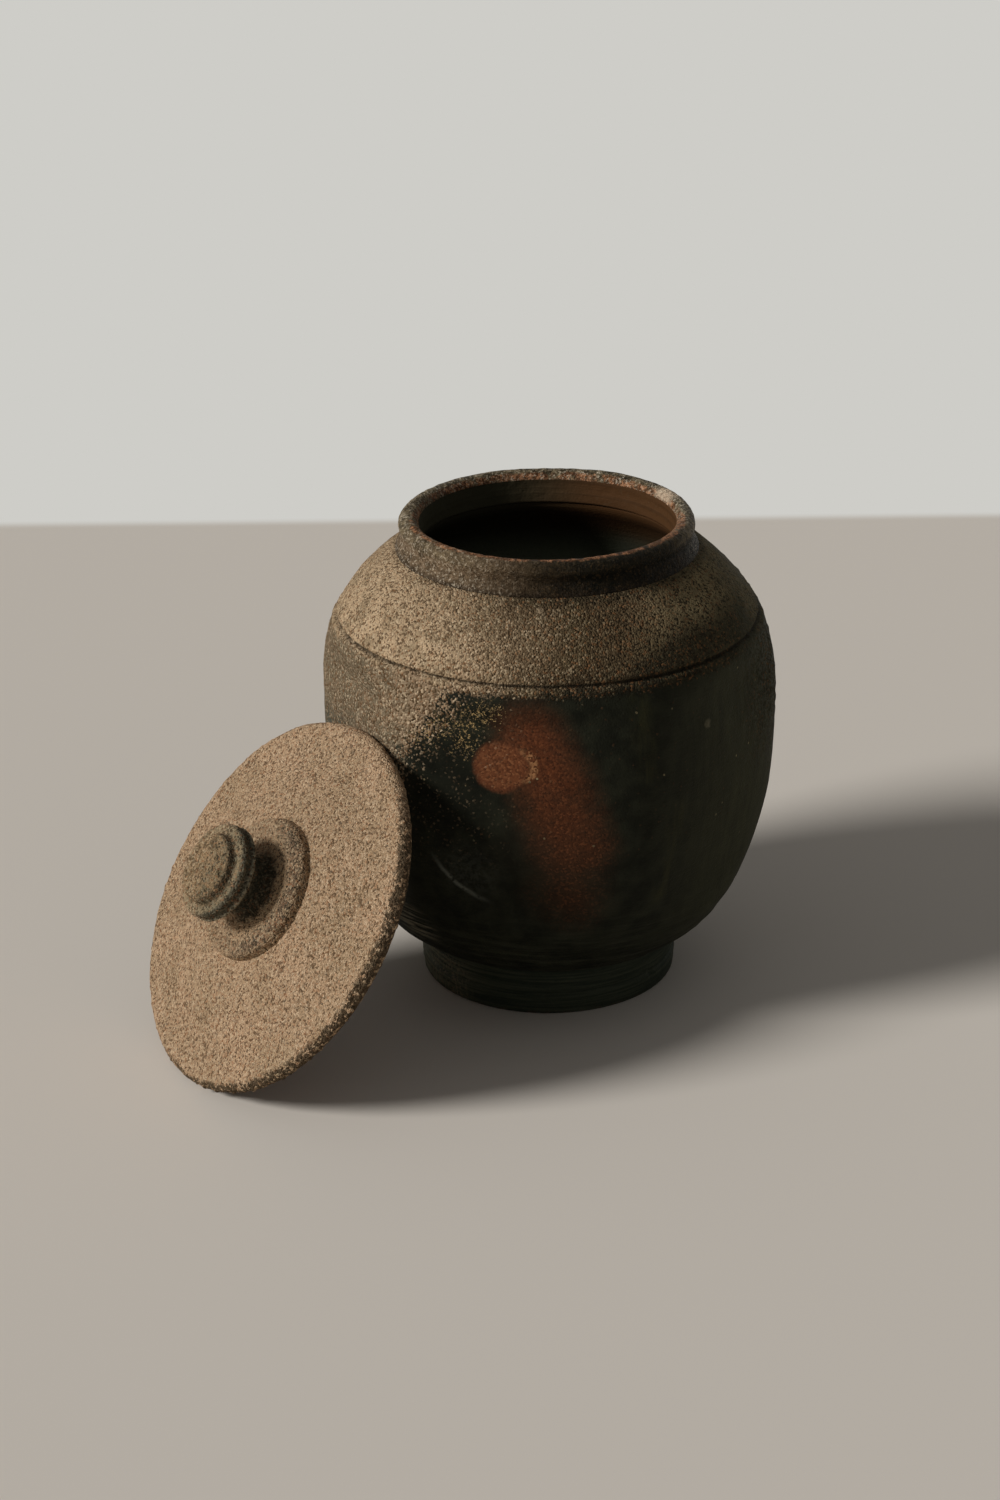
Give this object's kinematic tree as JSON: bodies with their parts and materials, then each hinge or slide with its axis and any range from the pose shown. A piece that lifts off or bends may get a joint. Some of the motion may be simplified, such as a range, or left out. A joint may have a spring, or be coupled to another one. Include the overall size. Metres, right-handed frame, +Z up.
{
  "type": "lidded stoneware jar",
  "caption": "Round lidded stoneware jar with a softly six-sided belly, rolled neck collar and foot ring, and a flat knobbed lid that is off and leans on the belly.",
  "frame": {"origin": "on the jar's axis at the underside of its foot ring", "axes": "+Z up along the jar's axis and out of its mouth, +X away from the leaning lid along the row's longest extent"},
  "size_m": [0.1768, 0.1648, 0.1372],
  "materials": {
    "smoked_stoneware": "unglazed, smoke black with a sandy crust on the shoulder and an orange flash on the belly",
    "ash_grey_stoneware": "unglazed, dark grey brown with pale ash on the lip",
    "smoked_stoneware_foot": "unglazed, dark grey brown with trimming lines",
    "crusted_stoneware": "unglazed, warm tan granular ash crust",
    "crusted_stoneware_knob": "unglazed, olive grey granular ash crust",
    "bare_stoneware": "unglazed, bare fired clay"
  },
  "bodies": {
    "jar": {"jar_body": "smoked_stoneware", "neck_collar": "ash_grey_stoneware", "foot_ring": "smoked_stoneware_foot"},
    "lid": {"lid_plate": "crusted_stoneware", "lid_knob": "crusted_stoneware_knob", "lid_locating_ring": "bare_stoneware"}
  },
  "joints": [
    {"name": "lid_lift", "type": "slide", "parent": "jar", "child": "lid", "axis": [0, 0, 1], "range_m": [0, 0.16]}
  ]
}
